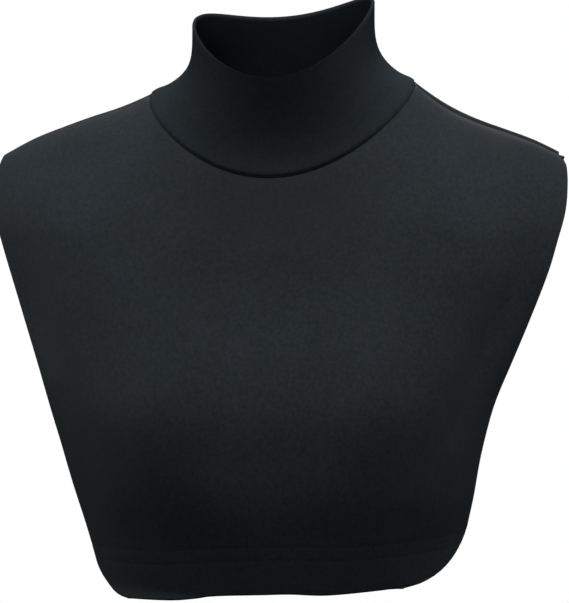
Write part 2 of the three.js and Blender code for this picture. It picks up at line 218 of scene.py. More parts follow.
def collar_top(angle):
    """A point of the collar's top edge, with the same angle."""
    height = loop_height(angle, COLLAR_FRONT_TOP, COLLAR_SIDE_TOP, COLLAR_BACK_TOP)
    return Vector((
        COLLAR_LEAN + COLLAR_WIDTH / 2 * math.sin(angle),
        (COLLAR_BACK - COLLAR_FRONT) / 2 - (COLLAR_BACK + COLLAR_FRONT) / 2 * math.cos(angle),
        height + COLLAR_TILT * math.sin(angle),
    ))


SAG = {-1: smooth(SHOULDER_LINE, 1), 1: smooth(SHOULDER_LINE, 2)}


def shoulder_seam(side, t):
    """A point of a shoulder seam, from beside the neck (0) to the tip (1)."""
    start = neck_seam(side * QUARTER)
    end = Vector((side * SHOULDER_WIDTH / 2, start.y + SHOULDER_BACK, -SHOULDER_DROP))
    point = start.lerp(end, t)
    point.z -= SHOULDER_DIP * SAG[side](t)
    return point


EDGES = {-1: smooth(LEVELS, 1), 1: smooth(LEVELS, 2)}


def half_width(side, z):
    return SHOULDER_WIDTH / 2 * EDGES[side](-z / PANEL_LENGTH)


def hem_height(share):
    middle = ((share - HEM_RISE_AT) / HEM_RISE_WIDE) ** 2
    return -PANEL_LENGTH + HEM_TILT * share + HEM_RISE * math.exp(-middle ** 2)


def rounded_half(side, z):
    """Half the width at a height with the round bottom corner taken off."""
    radius = CORNER[side]
    above = min(max((z - hem_height(side)) / radius, 0), 1)
    return half_width(side, z) - radius * (1 - math.sqrt(above * (2 - above)))


def side_of(x):
    return -1 if x < 0 else 1


class Panel:
    """The front or the back of the garment, as columns of points that run down from its seams."""

    def __init__(self, facing, reach, first_column, bust, starts):
        self.facing, self.reach, self.bust = facing, reach, bust
        self.middle, self.edge = smooth(LEVELS, first_column), smooth(LEVELS, first_column + 1)
        names = ("lean", "first", "last", "length")
        self.start = {name: smooth(starts, k + 1) for k, name in enumerate(names)}

    def stands_out(self, x, z):
        """How far the panel stands away from the middle of the body."""
        down, side = -z / PANEL_LENGTH, side_of(x)
        share = min(abs(x) / half_width(side, z), 1)
        drop = (1 - math.sqrt(1 - (BEND * share) ** 2)) / (1 - math.sqrt(1 - BEND ** 2))
        out = self.reach * mix(self.middle(down), self.edge(down), drop)
        if self.bust:
            across = (abs(x) - BUST_SPAN / 2) / BUST_WIDE
            tall = (-z - BUST_DOWN) / BUST_TALL
            out += BUST_RISE * math.exp(-across ** 2 - tall ** 2)
        for fold_side, place, top, bottom, rise, wide in FOLDS:
            if fold_side == side and top < down < bottom:
                fade = math.sin(math.pi * (down - top) / (bottom - top))
                out += rise * fade * math.exp(-((share - place) / wide) ** 2)
        return out

    def upper_end(self, place):
        """Where a column starts, for a place across the panel counted in the frame's steps."""
        if place < SHOULDER_STEPS:
            t = 1 - place / SHOULDER_STEPS
            return shoulder_seam(-1, t), (1 + t) / 2, -QUARTER
        if place > SHOULDER_STEPS + NECK_STEPS:
            t = (place - SHOULDER_STEPS - NECK_STEPS) / SHOULDER_STEPS
            return shoulder_seam(1, t), (1 + t) / 2, QUARTER
        turn = QUARTER * (2 * (place - SHOULDER_STEPS) / NECK_STEPS - 1)
        angle = turn if self.facing < 0 else math.pi - turn
        return neck_seam(angle), abs(turn / QUARTER) / 2, angle

    def start_slope(self, along, angle):
        """How steeply the cloth starts down from its seam, seen from the side."""
        seam = neck_seam(angle + ASIDE) - neck_seam(angle - ASIDE)
        flat = math.hypot(seam.x, seam.y)
        lean = math.radians(self.start["lean"](min(along, 0.5)))
        away = Vector((
            seam.y / flat * math.cos(lean), -seam.x / flat * math.cos(lean), -math.sin(lean)))
        normal = away.cross(seam)
        slope = math.atan2(self.facing * normal.y, normal.z)
        if along < 0.5:
            return slope
        return mix(slope, -self.facing * math.radians(TIP_SLOPE), 2 * along - 1)

    def column(self, place, curve_shares, body_rows, hem_rows):
        """Points of one column, from its seam to the hem's edge."""
        top, along, angle = self.upper_end(place)
        low_share = abs(place / (SHOULDER_STEPS + NECK_STEPS / 2) - 1)
        side = side_of(top.x)
        high_share = abs(top.x) / half_width(side, top.z)
        bottom = hem_height(side * low_share)
        first, last, length = (
            PANEL_LENGTH * self.start[name](along) for name in ("first", "last", "length"))
        knee = top.z - length

        def outline(z):
            fan = math.sin(QUARTER * (top.z - z) / (top.z - bottom))
            return side * mix(high_share, low_share, fan) * rounded_half(side, z)

        def body(z):
            x = outline(z)
            return Vector((x, self.facing * self.stands_out(x, z), z))

        slope = self.start_slope(along, angle)
        low, below = body(knee), body(knee - last / 2)
        up = Vector((low.y - below.y, low.z - below.z)).normalized()
        handles = (
            Vector((top.y, top.z)),
            Vector((
                top.y + self.facing * first * math.cos(slope), top.z - first * math.sin(slope))),
            Vector((low.y, low.z)) + up * last,
            Vector((low.y, low.z)),
        )
        points = [top]
        for t in curve_shares:
            weights = ((1 - t) ** 3, 3 * t * (1 - t) ** 2, 3 * t * t * (1 - t), t ** 3)
            y, z = (sum(w * h[k] for w, h in zip(weights, handles)) for k in (0, 1))
            points.append(Vector((outline(min(z, top.z)), y, z)))
        hem_top = bottom + hem_rows[0]
        points += [body(mix(knee, hem_top, i / body_rows)) for i in range(body_rows)]
        points += [body(bottom + height) for height in hem_rows]
        return points


FRONT = Panel(-1, 130, 3, True, FRONT_STARTS)
BACK = Panel(1, 102, 5, False, BACK_STARTS)


# Grids of points, and the shells and strips that are made from them.

def tangents(points, closed):
    """Directions along a row of points or columns, which a closed row has at its ends too."""
    if closed:
        return np.roll(points, -1, 0) - np.roll(points, 1, 0)
    return np.gradient(points, axis=0)


def grid_normals(grid, closed):
    """Unit normals of a grid of points, by the cross product of its two directions."""
    normals = np.cross(tangents(grid, closed), np.gradient(grid, axis=1))
    return normals / np.linalg.norm(normals, axis=2, keepdims=True)


def unit(vectors):
    return vectors / np.maximum(np.linalg.norm(vectors, axis=-1, keepdims=True), 1e-12)


def distances(points, axis):
    """Distance of every point from the first one along an axis of a grid or a path."""
    steps = np.linalg.norm(np.diff(points, axis=axis), axis=-1)
    return np.concatenate([steps.take([0], axis) * 0, np.cumsum(steps, axis)], axis)


def rolled(grid, normals, depth, width, from_end=False):
    """The grid with its cloth rolled in along the first or last row, as it is at a seam."""
    far = distances(grid, 1)
    if from_end:
        far = far[:, -1:] - far
    near = np.clip(1 - far / width, 0, 1)
    return grid - normals * (depth * (1 - np.sqrt(1 - near ** 2)))[..., None]


# Height share of each set of waves, then how many there are in a metre across and down.
WAVES = ((1, 16, 11), (0.35, 38, 27))
WAVES_FADE = 0.02


def eased(grid, normals, height, shift):
    """The grid with slow shallow waves, which fade out towards its first row."""
    far = distances(grid, 1)
    moved = grid.copy()
    for i, column in enumerate(grid):
        for j, (x, y, z) in enumerate(column):
            wave = sum(
                share * noise.noise(Vector((x * across, y * across, z * down)) + Vector(shift))
                for share, across, down in WAVES)
            fade = min(far[i, j] / WAVES_FADE, 1)
            moved[i, j] += normals[i, j] * height * fade * wave
    return moved


def linked(name, data, collection=None):
    """A new object, in the collection in use or in another one."""
    made = bpy.data.objects.new(name, data)
    (collection or bpy.context.collection).objects.link(made)
    return made


def mesh_of(name, vertices, faces, uvs):
    """A smooth closed mesh whose faces point out. uvs holds one pair for each corner of a face."""
    a = np.asarray(vertices, dtype=float)
    volume = 0.0
    for face in faces:
        for k in range(1, len(face) - 1):
            volume += np.dot(a[face[0]], np.cross(a[face[k]], a[face[k + 1]]))
    if volume < 0:
        faces = [face[::-1] for face in faces]
        uvs = [pair[::-1] for pair in uvs]
    mesh = bpy.data.meshes.new(name)
    mesh.from_pydata([tuple(point) for point in a], [], faces)
    layer = mesh.uv_layers.new(name="cloth")
    layer.data.foreach_set("uv", [value for pair in uvs for corner in pair for value in corner])
    mesh.polygons.foreach_set("use_smooth", [True] * len(faces))
    mesh.validate()
    mesh.update()
    return linked(name, mesh)


def sections_of(outer, inner, closed):
    """Each column's loop of points round both faces and their round edges, with its middle line."""
    middle, half = (outer + inner) / 2, (outer - inner) / 2
    size = np.linalg.norm(half, axis=2, keepdims=True)

    def arc(row, inner_row, degrees):
        edge = middle[:, row]
        across = np.cross(tangents(edge, closed), half[:, row])
        away = facing(across, edge - middle[:, inner_row])
        turn = math.radians(degrees)
        face, side = half[:, row] * math.cos(turn), away * size[:, row] * math.sin(turn)
        return (edge + face + side)[:, None]

    top = [arc(0, 1, degrees) for degrees in (90, 45, 135)]
    end = [arc(-1, -2, degrees) for degrees in (45, 90, 135)]
    loops = np.concatenate([top[0], top[1], outer, *end, inner[:, ::-1], top[2]], axis=1)
    return loops, doubled(middle, 1), middle, half


def facing(vectors, outward):
    """Unit vectors, turned round together when they point against the outward ones."""
    side = np.sign(np.sum(vectors * outward))
    return unit(vectors) * side


def doubled(rows, axis):
    """What belongs to each row, repeated for the points of a loop round both faces of the wall."""
    first, last = rows.take([0], axis), rows.take([-1], axis)
    back = np.flip(rows, axis)
    return np.concatenate([first, first, rows, last, last, last, back, first], axis=axis)


def skin(loops, flat, closed):
    """Faces from each loop of points to the next, with their corners' cloth coordinates."""
    count, size = loops.shape[:2]
    faces, uvs = [], []
    for i in range(count if closed else count - 1):
        n = (i + 1) % count
        for k in range(size):
            m = (k + 1) % size
            faces.append((i * size + k, n * size + k, n * size + m, i * size + m))
            uvs.append((flat[i, k], flat[i + 1, k], flat[i + 1, k + 1], flat[i, k + 1]))
    return faces, uvs


# Degrees from the wall's faces at which an open wall has its two rows round each side edge.
SIDE_TURNS = (75, 40)


def shell(name, outer, wall, normals, uv, closed, folded=False):
    """A cloth wall behind a grid of points, with all its edges rounded.

    The cloth of a folded wall runs on over its last row, so inside it has negative coordinates.
    """
    inner = outer - normals * wall[..., None]
    loops, middles, middle, half_wall = sections_of(outer, inner, closed)
    flat = doubled(uv, 1)
    if folded:
        # The loop has two points before the outer rows and starts inside at the edge's second.
        flat[:, outer.shape[1] + 4:, 1] *= -1
    if not closed:
        sides = []
        for end, before in ((0, 1), (-1, -2)):
            tangent = np.gradient(middle[end], axis=0)
            away = facing(np.cross(tangent, half_wall[end]), middle[end] - middle[before])
            away = doubled(away, 0)
            half = loops[end] - middles[end]
            size = np.linalg.norm(half, axis=1, keepdims=True)
            sides.append([
                middles[end] + half * math.cos(turn) + away * size * math.sin(turn)
                for turn in map(math.radians, SIDE_TURNS)])
        loops = np.concatenate([np.stack(sides[0]), loops, np.stack(sides[1][::-1])])
        flat = np.concatenate([flat[:1]] * 2 + [flat] + [flat[-1:]] * 2)
    faces, uvs = skin(loops, np.concatenate([flat, flat[:, :1]], axis=1), closed)
    count, size = loops.shape[:2]
    if not closed:
        for i, turned in ((0, False), (count - 1, True)):
            for k in range(size // 2):
                m = k + 1
                ring = [k, m, (size - m) % size, (size - k) % size]
                ring = [c for at, c in enumerate(ring) if c not in ring[:at]]
                ring = ring[::-1] if turned else ring
                faces.append(tuple(i * size + c for c in ring))
                uvs.append(tuple(flat[i, c] for c in ring))
    return mesh_of(name, loops.reshape(-1, 3), faces, uvs)


# A strip's sides, the power that makes its section squarish, and the last step of a closed one.
STRIP_SIDES, SQUARISH, LAST_STEP = 12, 0.55, 0.003


def strip(name, path, up, normals, width, wall, closed):
    """A flat strip with round edges along a path. width and wall hold one value for each point."""
    turns = np.radians((np.arange(STRIP_SIDES) + 0.5) * 360 / STRIP_SIDES)
    corner = np.stack([np.cos(turns), np.sin(turns)], axis=1)
    squarish = np.sign(corner) * np.abs(corner) ** SQUARISH
    loops = (
        path[:, None]
        + up[:, None] * squarish[None, :, :1] * width[:, None, None] / 2
        + normals[:, None] * squarish[None, :, 1:] * wall[:, None, None] / 2
    )
    count, size = loops.shape[:2]
    far = distances(path, 0)
    far = np.append(far, far[-1] + LAST_STEP)
    flat = np.stack(np.meshgrid(far, np.arange(size + 1) * MM, indexing="ij"), axis=2)
    faces, uvs = skin(loops, flat, closed)
    if not closed:
        for i, order in ((0, range(size)), (count - 1, range(size - 1, -1, -1))):
            faces.append(tuple(i * size + k for k in order))
            uvs.append(tuple((far[i], k * MM) for k in order))
    return mesh_of(name, loops.reshape(-1, 3), faces, uvs)


# The grids of the panels and the collar.

# Heights of grid rows beside a row of stitches and beside the hem's top, in millimetres, and those
# below the stitches as shares of the lower row's height.
BESIDE_STITCHES = (2, 0.9, 0.4, 0, -0.4, -0.9, -2)
BESIDE_HEM = (1.2, 0.5, 0)
BELOW_STITCHES = (0.82, 0.66, 0.5, 0.36, 0.24, 0.14, 0.07, 0.03, 0)


def hem_rows(cloth, stitches):
    """Heights of the hem's rows above its edge, closer together at the stitches and at the fold."""
    depth, upper = cloth.hem_depth / MM, stitches.upper_row / MM
    lower = upper - stitches.row_gap / MM
    rows = [depth + above for above in BESIDE_HEM]
    rows += [upper + above for above in BESIDE_STITCHES[1:]]
    rows += [lower + above for above in BESIDE_STITCHES[:-1]]
    rows += [(upper + lower) / 2, *(lower * share for share in BELOW_STITCHES)]
    return sorted(set(round(row, 3) for row in rows), reverse=True)


# Shares of the first curve at which a column has points, and how many points it has below them.
CURVE_SHARES = [0.012, 0.024, 0.038, 0.055, 0.075, 0.1] + [0.1 + 0.9 * i / 34 for i in range(1, 34)]
BODY_ROWS = 62
# Columns of the grid for each of the frame's, and rounds of smoothing across them.
COLUMN_PARTS = 5
SMOOTHINGS = 36
# How far the tip's rounding reaches along its edge, as a share of its radius.
TIP_REACH = 5
# How far below the seam the smoothing has its full strength and over what length it lessens, in
# metres, and the shares that it lessens from and to.
SOFT_FROM, SOFT_OVER, SOFT_FIRST, SOFT_LEAST = 0.03, 0.16, 1.25, 0.12
# How wide and deep the stitches pull the cloth in, and the step at the hem's inner edge, in metres.
DENT_WIDE, DENT_DEEP, HEM_STEP = 0.0008, 0.00010, 0.0006
# How far the right shoulder seam's step reaches down the front, in metres, how fast it starts
# beside the neck, where it ends, as a share of the seam, and how fast.
STEP_REACH, STEP_STARTS, STEP_END, STEP_ENDS = 0.007, 4, 1.06, 9


def rounded_tip(grid, radius):
    """The grid with the corner at its right shoulder's tip rounded off."""
    drop = grid[-1, 0, 2] - grid[-1, :, 2]
    for j in range(int(np.sum(drop < radius))):
        row = grid[::-1, j]
        far = distances(row, 0)
        inset = radius - math.sqrt(radius ** 2 - (radius - max(drop[j], 0)) ** 2)
        places = far + inset * np.clip(1 - far / (TIP_REACH * radius), 0, 1)
        moved = np.stack([np.interp(places, far, row[:, k]) for k in range(3)], axis=1)
        grid[:, j] = moved[::-1]
    return grid


def panel_grid(panel, cloth, stitches):
    """The outer face of a panel in metres, its normals, its wall and its cloth coordinates."""
    rows = hem_rows(cloth, stitches)
    steps = (2 * SHOULDER_STEPS + NECK_STEPS) * COLUMN_PARTS
    grid = np.array([
        [tuple(point) for point in panel.column(i / COLUMN_PARTS, CURVE_SHARES, BODY_ROWS, rows)]
        for i in range(steps + 1)
    ]) * MM
    at_shoulder = np.ones(len(grid))
    at_shoulder[SHOULDER_STEPS * COLUMN_PARTS + 1:-SHOULDER_STEPS * COLUMN_PARTS - 1] = 0
    away = unit(grid[:, 1] - grid[:, 0])
    grid[:, 0] += away * (at_shoulder * SEAM_GAP / 2 * MM)[:, None]
    far = distances(grid, 1)
    soften = np.clip(far / SOFT_FROM, 0, 1)
    soften = soften * np.clip(SOFT_FIRST - far / SOFT_OVER, SOFT_LEAST, 1)
    for _ in range(SMOOTHINGS):
        level = (grid[:-2] + grid[2:]) / 2
        grid[1:-1] += (level - grid[1:-1]) * 0.5 * soften[1:-1, :, None]
    normals = grid_normals(grid, False)
    if np.mean(normals[:, :, 1]) * panel.facing < 0:
        normals = -normals
    grid = eased(grid, normals, cloth.ease, (3.0 + panel.facing, 7.0, 1.0))
    if panel.facing < 0:
        along = (np.arange(len(grid)) / COLUMN_PARTS - SHOULDER_STEPS - NECK_STEPS) / SHOULDER_STEPS
        fade = np.clip(along * STEP_STARTS, 0, 1)
        fade = fade * np.clip((STEP_END - along) * STEP_ENDS, 0, 1)
        sunk = cloth.seam_step * fade[:, None] * np.exp(-(distances(grid, 1) / STEP_REACH) ** 2)
        grid = grid - normals * sunk[..., None]
    grid = rolled(grid, normals, cloth.roll_depth, cloth.roll_width)
    grid = rounded_tip(grid, cloth.tip_radius)
    hem = len(grid[0]) - len(rows)
    height = np.array([row * MM for row in rows])
    for row in (stitches.upper_row, stitches.upper_row - stitches.row_gap):
        dent = DENT_DEEP * np.exp(-((height - row) / DENT_WIDE) ** 2)
        grid[:, hem:] -= normals[:, hem:] * dent[None, :, None]
    wall = np.full(grid.shape[:2], cloth.ply)
    turned = np.clip((cloth.hem_depth + HEM_STEP - height) / HEM_STEP, 0, 1)
    wall[:, hem:] += cloth.hem_ply * turned
    u = distances(grid[:, :, :2], 0)
    u -= u[len(u) // 2]
    down = distances(grid, 1)
    uv = np.stack([u, down[:, -1:] - down], axis=2)
    return grid, normals, wall, uv


# Shares of the collar's height at which it has points, and its columns.
RISES = [0, 0.012, 0.026, 0.045, 0.07, 0.1, 0.135] + [0.135 + 0.865 * i / 26 for i in range(1, 27)]
COLLAR_COLUMNS = 8 * NECK_STEPS
# How far above its seam the collar swells most, over what height, and its edge's roll, in metres.
SWELL_AT, SWELL_TALL = 0.0025, 0.0055
EDGE_DEPTH, EDGE_WIDTH = 0.0020, 0.0019
# The height of the collar's slow waves as a share of the panels'.
COLLAR_EASE = 0.6


def collar_grid(cloth):
    """The outer face of the collar from its seam up, with its normals, wall and coordinates."""
    columns = []
    for i in range(COLLAR_COLUMNS):
        angle = 2 * math.pi * i / COLLAR_COLUMNS
        low, high = neck_seam(angle), collar_top(angle)
        flare = mix(FRONT_FLARE, SIDE_FLARE, math.sin(angle) ** 4)
        column = []
        for rise in RISES:
            inward = 1 - (1 - rise) ** flare
            column.append((
                mix(low.x, high.x, inward), mix(low.y, high.y, inward), mix(low.z, high.z, rise)))
        columns.append(column)
    grid = np.array(columns) * MM
    grid[:, 0] += unit(grid[:, 1] - grid[:, 0]) * SEAM_GAP * MM
    normals = grid_normals(grid, True)
    outward = np.sum(normals[:, :, :2] * grid[:, :, :2])
    if outward < 0:
        normals = -normals
    grid = eased(grid, normals, cloth.ease * COLLAR_EASE, (11.0, 2.0, 5.0))
    far = distances(grid, 1)
    swell = np.exp(-((far - SWELL_AT) / SWELL_TALL) ** 2)
    grid = rolled(
        grid + normals * cloth.puff * swell[..., None], normals, EDGE_DEPTH, EDGE_WIDTH)
    wall = np.full(grid.shape[:2], cloth.collar_wall)
    up = distances(grid, 1)
    below_fold = up[:, -1:] - up
    u = distances(np.concatenate([grid, grid[:1]]), 0)
    v = np.concatenate([below_fold, below_fold[:1]])
    return grid, normals, wall, np.stack([u, v], axis=2)


# Materials.

def set_inputs(tree, target, inputs):
    """Sets a node's inputs, from sockets to link or from plain values."""
    for key, value in inputs.items():
        if isinstance(value, bpy.types.NodeSocket):
            tree.links.new(value, target.inputs[key])
        else:
            target.inputs[key].default_value = value


def node(tree, kind, inputs=None, out=None, **options):
    """One output, or all of them, of a new node with its options and its inputs."""
    made = tree.nodes.new(kind)
    for name, value in options.items():
        setattr(made, name, value)
    set_inputs(tree, made, inputs or {})
    return made.outputs if out is None else made.outputs[out]


def number(tree, operation, first, second=0.5):
    """What a Math node makes of numbers or sockets."""
    return node(tree, "ShaderNodeMath", {0: first, 1: second}, 0, operation=operation)


def noise_node(tree, vector, scale, detail):
    inputs = {"Vector": vector, "Scale": scale, "Detail": detail}
    return node(tree, "ShaderNodeTexNoise", inputs, "Fac")


def bumped(tree, height, strength, distance):
    inputs = {"Height": height, "Strength": strength, "Distance": distance}
    return node(tree, "ShaderNodeBump", inputs, "Normal")


def mixed(tree, first, second, factor):
    """A colour between two."""
    inputs = {"A": (*first, 1), "B": (*second, 1), "Factor": factor}
    return node(tree, "ShaderNodeMix", inputs, "Result", data_type="RGBA")


def new_material(name):
    """A new material, with its node tree and its shader."""
    made = bpy.data.materials.new(name)
    made.use_nodes = True
    return made, made.node_tree, made.node_tree.nodes["Principled BSDF"]


# Loops in a metre across and down, where the wale is 1 mm wide.
LOOPS = (1000.0, 1250.0)
# Scale and detail of the noise in the fuzz, the patches and the clouds of the cloth, and of the
# spots between its two tones.
NOISES, SPOTS = ((1400.0, 2.0), (420.0, 3.0), (22.0, 2.0)), (95.0, 4.0)
# Strength of the bumps, and their height in metres.
KNIT_BUMP, THREAD_BUMP = (0.35, 0.00018), (0.5, 0.0001)
# How far below the fold the painted shade on the inner ply ends and the outer ply's own tone
# starts, and the share of the tone that the painted shade leaves.
FOLD_SPAN, INNER_SHADE = (-0.0022, 0.0012), 0.26


def knit_group():
    """Node group of a plain jersey knit: its loops, its fuzz and its uneven dye."""
    tree = bpy.data.node_groups.new("Jersey knit", "ShaderNodeTree")
    sockets = (("Cloth", "Vector"), ("Place", "Vector"), ("Wale", "Float"), ("Mottle", "Float"))
    for name, kind in sockets:
        tree.interface.new_socket(name, in_out="INPUT", socket_type="NodeSocket" + kind)
    for name in ("Height", "Tone", "Roughness"):
        tree.interface.new_socket(name, in_out="OUTPUT", socket_type="NodeSocketFloat")
    given = node(tree, "NodeGroupInput")

    def plus(first, second):
        return number(tree, "ADD", first, second)

    def times(first, second):
        return number(tree, "MULTIPLY", first, second)

    def around_none(fac):
        return number(tree, "SUBTRACT", fac, 0.5)

    parts = node(tree, "ShaderNodeSeparateXYZ", {0: given["Cloth"]})
    wales, courses = (
        number(tree, "DIVIDE", times(parts[axis], each_metre), given["Wale"])
        for axis, each_metre in enumerate(LOOPS))
    ridge = times(number(tree, "PINGPONG", wales, 0.5), 2.0)
    course = number(tree, "SINE", times(plus(courses, times(ridge, 0.45)), 2 * math.pi))
    loops = plus(times(number(tree, "POWER", ridge, 0.6), 0.7), times(course, 0.15))
    fuzz, patches, clouds = (
        noise_node(tree, given["Place"], scale, detail) for scale, detail in NOISES)
    spread = plus(around_none(patches), times(around_none(fuzz), 0.7))
    spread = plus(spread, times(around_none(clouds), 0.35))
    spread = times(spread, times(given["Mottle"], 4.0))
    node(tree, "NodeGroupOutput", {
        "Height": plus(loops, times(fuzz, 0.8)),
        "Tone": plus(plus(spread, times(loops, 0.12)), 0.95),
        "Roughness": plus(times(patches, 0.16), 0.72),
    })
    return tree


def smoothed(tree, value, span, ends):
    """A value that goes smoothly from one end to the other while the given one crosses a span."""
    inputs = {
        "Value": value, "From Min": span[0], "From Max": span[1], "To Min": ends[0],
        "To Max": ends[1]}
    return node(tree, "ShaderNodeMapRange", inputs, "Result", interpolation_type="SMOOTHSTEP")


def shaded_front(tree, place, middle, spread, deepest):
    """A tone that deepens smoothly towards one place, for shade that the lamps don't give."""
    inputs = {"Vector": place, "Location": middle, "Scale": spread}
    centred = node(tree, "ShaderNodeMapping", inputs, 0, vector_type="TEXTURE")
    ball = node(tree, "ShaderNodeTexGradient", {0: centred}, "Fac", gradient_type="SPHERICAL")
    return smoothed(tree, ball, (0, 1), (1, deepest))


def painted_inner_shade(tree, cloth_place):
    """Painted shade: a deeper tone on the ply inside the fold and over the fold's top, as dim as
    the shaded inside of a collar.
    """
    below_fold = node(tree, "ShaderNodeSeparateXYZ", {0: cloth_place}, 1)
    return smoothed(tree, below_fold, FOLD_SPAN, (INNER_SHADE, 1))


# For each cloth: the setting that holds its colour, its share of the mottle, its specular level and
# its sheen, whether it is folded, which gives it painted shade inside the fold, and the middle,
# size and depth of the painted shade on its front.
CLOTHS = {
    "panel_knit": (
        "jersey", 1, 0.08, 0.012, False, ((0, -0.088, -0.066), (0.14, 0.10, 0.09), 0.55)),
    "collar_knit": (
        "collar", 0.6, 0.0, 0.004, True, ((-0.001, -0.072, 0), (0.172, 0.166, 0.153), 0.13)),
    "allowance_knit": ("jersey", 1, 0.08, 0.012, False, None),
}
# What the dye's second tone is of its first, in red, green and blue.
SECOND_TONE = (1.10, 0.99, 1.08)


def cloth_material(name, look):
    """Jersey: a dark dye with an uneven tone, matt, with the nap's faint sheen; the collar's colour
    holds painted light and CLOTHS gives painted shade.
    """
    colour_setting, mottle, specular, sheen, folded, shade = CLOTHS[name]
    # For the collar this colour is the jersey's own colour lightened as painted light.
    base_colour = getattr(look, colour_setting)
    tint = [part * share for part, share in zip(base_colour, SECOND_TONE)]
    made, tree, shader = new_material(name)
    place = node(tree, "ShaderNodeTexCoord")
    knit = node(
        tree, "ShaderNodeGroup",
        {"Cloth": place["UV"], "Place": place["Object"], "Wale": look.wale,
         "Mottle": look.mottle * mottle},
        node_tree=bpy.data.node_groups.get("Jersey knit") or knit_group())
    dye = mixed(tree, base_colour, tint, noise_node(tree, place["Object"], *SPOTS))
    tone = knit["Tone"]
    if shade:
        tone = number(tree, "MULTIPLY", tone, shaded_front(tree, place["Object"], *shade))
    # Painted shade on the ply inside the fold and over the fold's top.
    if folded:
        tone = number(tree, "MULTIPLY", tone, painted_inner_shade(tree, place["UV"]))
    set_inputs(tree, shader, {
        "Base Color": node(
            tree, "ShaderNodeVectorMath", {0: dye, "Scale": tone}, 0, operation="SCALE"),
        "Roughness": knit["Roughness"],
        "Normal": bumped(tree, knit["Height"], *KNIT_BUMP),
        "Specular IOR Level": specular,
        "Sheen Weight": sheen,
        "Sheen Roughness": 0.55,
        "Sheen Tint": (0.62, 0.72, 0.80, 1),
    })
    return made


def thread_material(name, look):
    """Spun thread: twisted along its length and as dull as the cloth."""
    made, tree, shader = new_material(name)
    place = node(tree, "ShaderNodeTexCoord", out="Object")
    inputs = {"Vector": place, "Scale": 900.0, "Distortion": 1.5}
    twist = node(tree, "ShaderNodeTexWave", inputs, "Fac", bands_direction="DIAGONAL")
    dark, light = ([part * share for part in look.thread] for share in (0.7, 1.3))
    set_inputs(tree, shader, {
        "Base Color": mixed(tree, dark, light, twist),
        "Normal": bumped(tree, twist, *THREAD_BUMP),
        "Roughness": 0.8,
        "Specular IOR Level": 0.08,
    })
    return made


# Stitches.

# How far a stitch may lean to either side by chance, in radians, and the seed of that.
WANDER, STITCH_SEED = 0.06, 4


def stitch_tree():
    """Geometry nodes that lay one stitch after another along a path, flat on the cloth."""
    tree = bpy.data.node_groups.new("Stitch row", "GeometryNodeTree")
    kinds = {"Geometry": "Geometry", "Seed": "Int", "Material": "Material"}
    for name in ("Geometry", "Spacing", "Length", "Thickness", "Lean", "Seed", "Material"):
        kind = "NodeSocket" + kinds.get(name, "Float")
        socket = tree.interface.new_socket(name, in_out="INPUT", socket_type=kind)
        if name == "Seed":
            socket.default_value = STITCH_SEED
    tree.interface.new_socket("Geometry", in_out="OUTPUT", socket_type="NodeSocketGeometry")
    given = node(tree, "NodeGroupInput")
    curve = node(tree, "GeometryNodeMeshToCurve", {0: given["Geometry"]}, 0)
    evenly = node(
        tree, "GeometryNodeResampleCurve", {"Curve": curve, "Length": given["Spacing"]}, 0,
        mode="LENGTH")
    facing_out = node(
        tree, "GeometryNodeInputNamedAttribute", {"Name": "facing"}, "Attribute",
        data_type="FLOAT_VECTOR")
    aligned = "FunctionNodeAlignRotationToVector"
    upright = node(tree, aligned, {"Vector": facing_out}, "Rotation", axis="Z")
    tangent = node(tree, "GeometryNodeInputTangent", out=0)
    ahead = node(
        tree, aligned, {"Rotation": upright, "Vector": tangent}, "Rotation", axis="X",
        pivot_axis="Z")
    wander = node(
        tree, "FunctionNodeRandomValue", {2: -WANDER, 3: WANDER, "Seed": given["Seed"]}, 1,
        data_type="FLOAT")
    lean = number(tree, "ADD", given["Lean"], wander)
    turn = node(
        tree, "FunctionNodeAxisAngleToRotation", {"Axis": (0, 0, 1), "Angle": lean}, 0)
    turned = node(
        tree, "FunctionNodeRotateRotation", {"Rotation": ahead, "Rotate By": turn}, 0,
        rotation_space="LOCAL")
    bead = node(
        tree, "GeometryNodeMeshUVSphere", {"Segments": 6, "Rings": 6, "Radius": 0.5}, "Mesh")
    upended = node(
        tree, "GeometryNodeTransform", {"Geometry": bead, "Rotation": (0, QUARTER, 0)}, 0)
    thickness = given["Thickness"]
    size = node(
        tree, "ShaderNodeCombineXYZ", {0: given["Length"], 1: thickness, 2: thickness}, 0)
    laid = node(
        tree, "GeometryNodeInstanceOnPoints",
        {"Points": evenly, "Instance": upended, "Rotation": turned, "Scale": size}, 0)
    real = node(tree, "GeometryNodeRealizeInstances", {0: laid}, 0)
    shaded = node(tree, "GeometryNodeSetShadeSmooth", {"Geometry": real}, 0)
    painted = node(
        tree, "GeometryNodeSetMaterial", {"Geometry": shaded, "Material": given["Material"]}, 0)
    node(tree, "NodeGroupOutput", {0: painted})
    return tree


